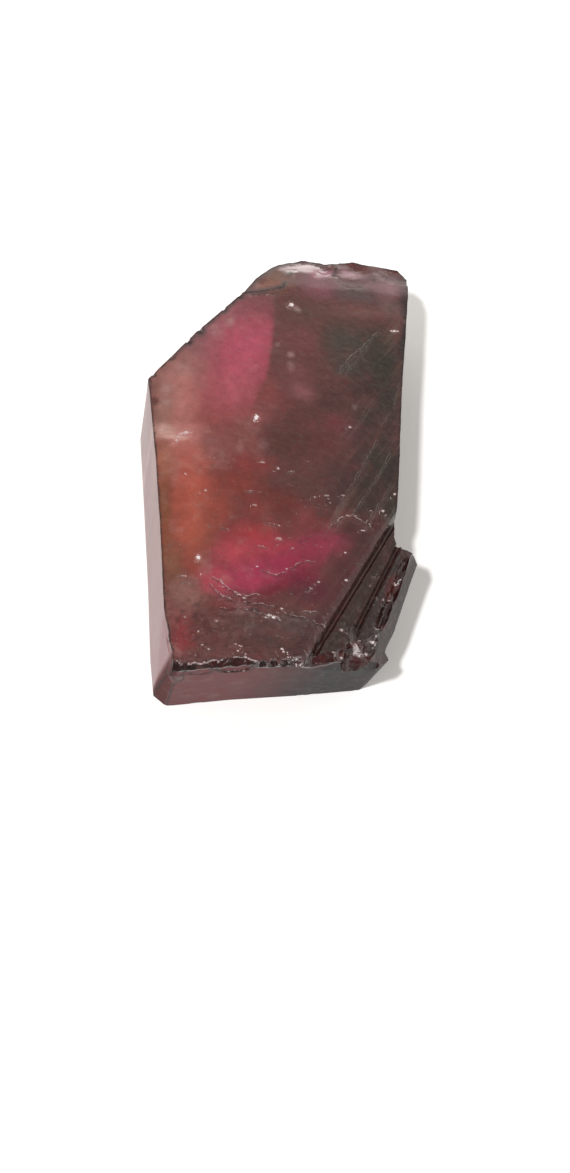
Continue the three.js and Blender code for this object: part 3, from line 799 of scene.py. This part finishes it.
def paintStone(look, shape):
    material = bpy.data.materials.new("tourmaline")
    material.use_nodes = True
    tree = material.node_tree
    tree.nodes.clear()
    output = makeNode(tree, "OutputMaterial")
    shader = makeNode(tree, "BsdfPrincipled")
    tree.links.new(shader.outputs[0], output.inputs["Surface"])
    ramp, times = partial(fade, tree), partial(product, tree)
    grain, maths = partial(speckle, tree), partial(calc, tree)
    coordinates = makeNode(tree, "TexCoord").outputs
    place = vectorCalc(tree, "MULTIPLY", coordinates["Object"], (1000, 1000, 1000))
    spot = splitOf(tree, place)
    facing = splitOf(tree, coordinates["Normal"])
    upward = facing[2]
    alongX, alongY = partial(ramp, spot[0]), partial(ramp, spot[1])

    def paint(colour, mask, tint, strength=1.0):
        share = mask if strength == 1.0 else times(mask, strength)
        return blend(tree, share, colour, bodyColour(look, look.get(tint, tint)))

    def shaken(reach, scale, detail):
        shake = grain(place, scale, detail, 0.55, 1)
        shake = vectorCalc(tree, "SUBTRACT", shake, (0.5, 0.5, 0.5))
        shake = vectorCalc(tree, "MULTIPLY", shake, (reach, reach, reach))
        return vectorCalc(tree, "ADD", place, shake)

    def wiggle(reach, scale):
        value = maths("SUBTRACT", grain(place, scale, 2), 0.5)
        return times(value, reach)

    def between(share, first, second):
        values = {0: share, 2: first, 3: second}
        return makeNode(tree, "Mix", values, data_type="FLOAT").outputs[0]

    def across(values, directionX, directionY):
        first = times(values[0], directionX)
        return maths("ADD", first, times(values[1], directionY))

    warped = shaken(0.6, 1.5, 3)
    tight = shaken(0.25, 3.0, 3)
    colour = attributeOf(tree, "zoneColour").outputs["Color"]

    # the shoulder's steps
    acrossX, acrossY = shape["shoulderAcross"]
    shoulder = maths("ADD", across(spot, acrossX, acrossY), wiggle(0.12, 1.2))
    southern = alongY(*look["shoulderFrom"])
    for low, high, soft, strength, tint in look["shoulder"]:
        mask = times(stripMask(tree, shoulder, low, high, soft), southern, strength)
        colour = paint(colour, mask, tint)
    onShoulder = times(ramp(shoulder, 9.0, 9.2), southern)
    ledge = zoneMask(tree, warped, (7.5, -9.0), (0.35, 0.9), -24, 0.6)
    colour = paint(colour, ledge, "ledgeRed", 0.85)

    # walls: the west side, the front, the chipped bevel above it and the pit beside the shoulder
    side = ramp(upward, 0.45, 0.15)
    westWall = times(side, ramp(facing[0], -0.7, -0.9))
    southWest = times(westWall, alongY(-4.0, -13.0, 0.4, 0.95))
    colour = paint(colour, southWest, "westWall")
    bevelHeight = maths("ADD", spot[2], alongX(0.8, 1.8, 0.0, 0.5))
    onBevel = times(ramp(bevelHeight, 8.5, 8.7), ramp(upward, 0.95, 0.88))
    onBevel = times(onBevel, alongY(-13.8, -14.2), ramp(facing[1], -0.15, -0.35))
    front = times(ramp(facing[1], -0.4, -0.8), side, maths("SUBTRACT", 1.0, onBevel))
    colour = paint(colour, front, "frontEast", 0.92)
    westPart = times(front, ramp(across(spot, 1.0, 0.35), -1.5, -9.0))
    colour = paint(colour, westPart, "frontWest", 0.9)
    corner = times(side, alongX(-6.7, -7.1), alongY(-14.6, -15.2))
    colour = paint(colour, corner, "frontCorner", 0.9)
    bevelShade = ramp(grain(place, 1.3, 4, 0.6), 0.38, 0.6, 0.3, 1.1)
    chipped = bodyColour(look, look["chippedRed"])
    bevelColour = blend(tree, 1.0, chipped, greyOf(tree, bevelShade), "MULTIPLY")
    colour = blend(tree, times(onBevel, 0.96), colour, bevelColour)
    pit = zoneMask(tree, warped, (5.1, -14.5), (1.6, 1.1), 0, 0.4)
    pit = times(pit, ramp(upward, 0.97, 0.85), maths("SUBTRACT", 1.0, front))
    colour = paint(colour, pit, "pitRed", 0.85)

    # mottling in brown, red and light
    topOnly = ramp(upward, 0.9, 0.97)
    mottle = ramp(grain(place, 1.2, 6, 0.62), 0.3, 0.7, 0.84, 1.16)
    colour = blend(tree, 0.75, colour, greyOf(tree, mottle), "MULTIPLY")
    browner = ramp(grain(stretched(tree, place, (1, 1, 1), 20, (7, 3, 0)), 1.5, 5, 0.6), 0.52, 0.7)
    colour = paint(colour, browner, "mottleBrown", 0.16)
    redder = ramp(grain(stretched(tree, place, (1, 1, 1), 50, (1, 8, 4)), 1.0, 5, 0.6), 0.52, 0.7)
    colour = paint(colour, redder, "mottleRed", 0.12)
    # smudges near the front
    frontPart = times(alongY(-9.8, -12.2), topOnly)
    smudge = grain(stretched(tree, tight, (0.6, 0.35, 1), 20), 1.0, 4, 0.6)
    colour = paint(colour, times(frontPart, ramp(smudge, 0.54, 0.7)), "smudgeLight", 0.2)
    colour = paint(colour, times(frontPart, ramp(smudge, 0.48, 0.34)), "smudgeDark", 0.4)
    grime = times(onShoulder, ramp(grain(tight, 2.2, 4, 0.6), 0.54, 0.66))
    colour = paint(colour, grime, "grime", 0.4)

    # growth lines over the dark side
    growth = shape["growthHeading"]
    dark = times(ramp(across(spot, 0.85, -0.3), 1.8, 4.6), alongY(-7.0, -4.5, 0.25, 1.0))
    bent = shaken(1.2, 0.18, 1)
    broadLines = grain(stretched(tree, bent, (7, 0.8, 7), growth), 1.0, 3, 0.6)
    fineLines = grain(stretched(tree, bent, (4, 0.22, 7), growth, (3, 5, 0)), 1.0, 3, 0.6)
    lines = maths("ADD", times(broadLines, 0.6), times(fineLines, 0.4))
    shade = ramp(lines, 0.4, 0.6, 0.68, 1.3)
    colour = blend(tree, times(dark, 0.85), colour, greyOf(tree, shade), "MULTIPLY")
    streaks = times(ramp(lines, 0.53, 0.62), dark, topOnly)
    colour = paint(colour, streaks, "streak", 0.35)

    # milky haze
    haze = times(ramp(grain(place, 0.7, 5, 0.6), 0.5, 0.75), alongX(1.5, -5.0))
    colour = paint(colour, haze, "haze", 0.2)
    wisps = grain(stretched(tree, tight, (1.6, 0.35, 1), 8), 1.0, 4, 0.6)
    wispMask = times(zoneMask(tree, warped, (-8.0, 0.4), (1.1, 0.7), 0, 0.6), ramp(wisps, 0.5, 0.64))
    colour = paint(colour, wispMask, "wisp", 0.5)

    # shell-like waves over the far end: pale ones with a painted highlight, and dark ones
    farEnd = times(alongY(13.9, 14.4), alongX(-0.6, 0.2), ramp(upward, 0.15, 0.45))
    waves = grain(stretched(tree, tight, (1.3, 0.4, 1), 8), 1.0, 4, 0.6)
    paleHighlightWaves = times(farEnd, ramp(waves, 0.52, 0.6), alongX(4.6, 1.8, 0.12, 0.9))
    colour = paint(colour, paleHighlightWaves, "paleWaveHighlight")
    colour = paint(colour, times(farEnd, ramp(waves, 0.46, 0.4), 0.5), "waveDark")

    # painted glints: traced ones from the mesh, more by chance, and a painted glow around the traced ones
    ragged = grain(place, 7.0, 2)
    glint = splitOf(tree, attributeOf(tree, "glintSpot").outputs["Vector"])
    squares = maths("ADD", times(glint[0], glint[0]), times(glint[1], glint[1]))
    length = maths("SQRT", squares)
    length = maths("ADD", length, ramp(ragged, 0.25, 0.75, -0.6, 0.6))
    glintMask = times(ramp(length, 1.05, 0.45), glint[2])
    # a soft painted glow around each traced glint
    glintGlow = times(ramp(length, 2.4, 0.7), glint[2], 0.22)
    # painted sparkles by chance over the top face
    cell = makeNode(tree, "TexVoronoi", {"Vector": tight, "Scale": 1.3, "Randomness": 1.0}).outputs
    chance = makeNode(tree, "SeparateColor", {0: cell["Color"]}).outputs
    size = ramp(chance[1], 0.3, 1.0, 0.04, 0.09)
    near = ramp(maths("DIVIDE", cell["Distance"], size), 1.0, 0.5)
    chanceGlint = times(near, ramp(chance[0], 0.82, 0.84), topOnly)
    chanceGlint = times(chanceGlint, alongY(4.0, -9.0, 0.12, 0.4), ramp(chance[2], 0.0, 1.0, 0.3, 1.0))

    # cracks: a painted glint as a broken bright line, with a dark one beside it
    crack = splitOf(tree, attributeOf(tree, "crackSpot").outputs["Vector"])
    wobble = ramp(grain(place, 3.0, 3, 0.5), 0.2, 0.8, -0.07, 0.07)
    away = maths("ADD", crack[0], wobble)
    lit = ramp(maths("ABSOLUTE", away), 0.045, 0.01)
    brokenUp = ramp(grain(place, 3.0, 3, 0.6), 0.4, 0.6, 0.15, 1.0)
    crackGlint = times(lit, crack[1], crack[2], brokenUp)
    below = ramp(maths("ABSOLUTE", maths("SUBTRACT", away, 0.075)), 0.08, 0.03)
    crackDark = times(below, crack[1])
    # hairlines by chance, mostly running across, painted with a light glint
    hair = vein(tree, stretched(tree, tight, (2.2, 0.8, 1)), 0.9, 0.005, 4)
    allowed = ramp(grain(stretched(tree, place, (1.3, 0.6, 1), 0, (3, 1, 7)), 1.3, 3), 0.56, 0.62)
    hair = times(hair, allowed, alongY(1.0, -9.0, 0.1, 1.0), topOnly)
    colour = paint(colour, crackDark, "crackDark", 0.3)
    colour = paint(colour, hair, "hairlineGlint", 0.5)
    colour = paint(colour, chanceGlint, "chanceGlint")
    colour = paint(colour, glintGlow, "glintGlow")
    colour = paint(colour, crackGlint, "crackGlint", 0.7)
    # the traced painted glints
    colour = paint(colour, glintMask, "glint")

    # rims: a thin line of painted shade, greyer in the north-west, and a painted highlight along the
    # chipped front rim
    edgeAway = attributeOf(tree, "edgeAway").outputs["Fac"]
    edgeAway = maths("ADD", edgeAway, ramp(ragged, 0.2, 0.8, -0.05, 0.05))
    rimNoise = ramp(grain(place, 2.0, 3), 0.38, 0.6, 0.45, 1.0)
    calmPart = maths("SUBTRACT", 1.0, times(ramp(shoulder, 8.2, 8.4), southern))
    # a thin line of painted shade along the rims, broken up by noise
    rim = times(ramp(edgeAway, 0.17, 0.06), rimNoise, calmPart)
    northWest = ramp(across(spot, -0.64, 0.77), 9.4, 10.2)
    greyRim = times(ramp(edgeAway, 0.4, 0.2), northWest, topOnly)
    colour = paint(colour, greyRim, "rimGrey", 0.7)
    colour = paint(colour, rim, "rimShade", 0.75)
    # a painted highlight along the top edge of the chipped front rim
    rimShine = times(ramp(edgeAway, 0.075, 0.02), alongY(-14.2, -14.4), ramp(spot[2], 8.98, 9.06))
    rimShine = times(rimShine, ramp(grain(place, 1.6, 4, 0.6), 0.4, 0.54), alongX(-7.2, -6.8))
    rimShine = times(rimShine, alongX(-1.6, -2.2, 0.3, 1.0))
    colour = paint(colour, rimShine, "rimHighlight", 0.75)
    tree.links.new(colour, shader.inputs["Base Color"])

    # gloss: wet-looking top, a duller front wall, polished side walls
    rough = ramp(grain(place, 2.5, 4, 0.6), 0.3, 0.7, 0.12, 0.28)
    wallRough = ramp(grain(stretched(tree, place, (1, 1, 5)), 1.5, 3), 0.3, 0.7, 0.08, 0.18)
    rough = between(side, rough, wallRough)
    rough = between(westWall, rough, 0.3)
    frontRough = ramp(grain(place, 1.2, 4), 0.3, 0.7, 0.7, 0.82)
    dull = maths("MAXIMUM", front, corner)
    rough = between(dull, rough, frontRough)
    rough = maths("MAXIMUM", rough, corner)
    rough = maths("MAXIMUM", rough, times(maths("MAXIMUM", glintMask, crackGlint), 0.5))
    tree.links.new(rough, shader.inputs["Roughness"])
    shader.inputs["IOR"].default_value = look["ior"]
    shader.inputs["Transmission Weight"].default_value = look["transmission"]

    # fine relief
    relief = times(grain(place, 2.2, 5, 0.6), 0.045)
    relief = maths("ADD", relief, times(lines, dark, 0.02))
    ruffle = grain(stretched(tree, place, (0.8, 0.5, 1), 15), 1.6, 4, 0.5)
    relief = maths("ADD", relief, times(ruffle, frontPart, 0.06))
    relief = maths("ADD", relief, times(crackGlint, 0.04))
    relief = maths("SUBTRACT", relief, times(maths("MAXIMUM", hair, crackDark), 0.03))
    calm = ramp(upward, 0.3, 0.6, 0.3, 1.0)
    relief = times(relief, calm)
    bump = makeNode(tree, "Bump", {"Height": relief, "Strength": 1.0, "Distance": 1.0 * mm})
    tree.links.new(bump.outputs[0], shader.inputs["Normal"])
    values = {"Color": look["absorbColour"], "Density": look["absorbDensity"]}
    absorb = makeNode(tree, "VolumeAbsorption", values)
    tree.links.new(absorb.outputs[0], output.inputs["Volume"])
    print("finish nodes:", len(tree.nodes))
    return material


# ---- table, light and camera

stage = {
    "tableSize": 400,
    "tableColour": (0.9, 0.895, 0.885, 1),
    "skyTop": (0.44, 0.43, 0.425, 1),
    "skySide": (1.35, 1.31, 1.25, 1),
    "skyFront": 0.2,  # how bright the room is towards the viewer's side
    "lampAt": (-37.4, -30.6, 107),
    "lampRadius": 3.3,
    "lampStrength": 30.0,
    "focal": 1250,  # in the picture's own units, whose long side is pictureHeight
    "pictureHeight": 1173,
    "cameraAt": (-14.07, -37.82, 84.70),
    "cameraRight": (0.983, -0.001, 0.181),
    "cameraUp": (-0.060, 0.940, 0.335),
}


def buildTable(look):
    half = look["tableSize"] / 2 * mm
    mesh = bpy.data.meshes.new("table")
    corners = [(-half, -half, 0), (half, -half, 0), (half, half, 0), (-half, half, 0)]
    mesh.from_pydata(corners, [], [(0, 1, 2, 3)])
    table = bpy.data.objects.new("table", mesh)
    bpy.context.scene.collection.objects.link(table)
    material = bpy.data.materials.new("table")
    material.use_nodes = True
    shader = material.node_tree.nodes["Principled BSDF"]
    shader.inputs["Base Color"].default_value = look["tableColour"]
    shader.inputs["Roughness"].default_value = 0.8
    shader.inputs["Specular IOR Level"].default_value = 0.2
    mesh.materials.append(material)


# a room that is brighter around than overhead, darker on the viewer's side, and a lamp above
def lightStudio(look):
    scene = bpy.context.scene
    world = bpy.data.worlds.new("studio")
    world.use_nodes = True
    tree = world.node_tree
    direction = splitOf(tree, makeNode(tree, "TexCoord").outputs["Generated"])
    sky = blend(tree, fade(tree, direction[2], 0.55, 0.92), look["skySide"], look["skyTop"])
    dim = fade(tree, direction[1], -0.35, -0.8, 1.0, look["skyFront"])
    sky = blend(tree, 1.0, sky, greyOf(tree, dim), "MULTIPLY")
    tree.links.new(sky, tree.nodes["Background"].inputs["Color"])
    scene.world = world
    lamp = bpy.data.lights.new("lamp", "POINT")
    lamp.energy = 1
    lamp.shadow_soft_size = look["lampRadius"] * mm
    lamp.use_nodes = True
    even = makeNode(lamp.node_tree, "LightFalloff", {"Strength": look["lampStrength"]})
    lamp.node_tree.links.new(even.outputs["Constant"], lamp.node_tree.nodes["Emission"].inputs["Strength"])
    holder = bpy.data.objects.new("lamp", lamp)
    holder.location = Vector(look["lampAt"]) * mm
    scene.collection.objects.link(holder)
    scene.view_settings.view_transform = "Standard"


def placeCamera(look):
    camera = bpy.data.cameras.new("camera")
    camera.sensor_fit = "VERTICAL"
    camera.sensor_height = 36
    camera.lens = camera.sensor_height * look["focal"] / look["pictureHeight"]
    camera.clip_start = 1 * mm
    right = Vector(look["cameraRight"]).normalized()
    up = Vector(look["cameraUp"])
    up = (up - right * up.dot(right)).normalized()
    back = right.cross(up)
    turn = Matrix((right, up, back)).transposed().to_4x4()
    holder = bpy.data.objects.new("camera", camera)
    holder.matrix_world = Matrix.Translation(Vector(look["cameraAt"]) * mm) @ turn
    bpy.context.scene.collection.objects.link(holder)
    bpy.context.scene.camera = holder


stone = refineStone(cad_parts["crystal"], stoneShape)
weatherStone(stone, stoneShape)
paintZones(stone.data, stonePaint)
stone.data.materials.clear()
stone.data.materials.append(paintStone(stonePaint, stoneShape))
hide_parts("crystal")
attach(stone, "root")
print("stone painted")

buildTable(stage)
lightStudio(stage)
placeCamera(stage)
print("stage ready")
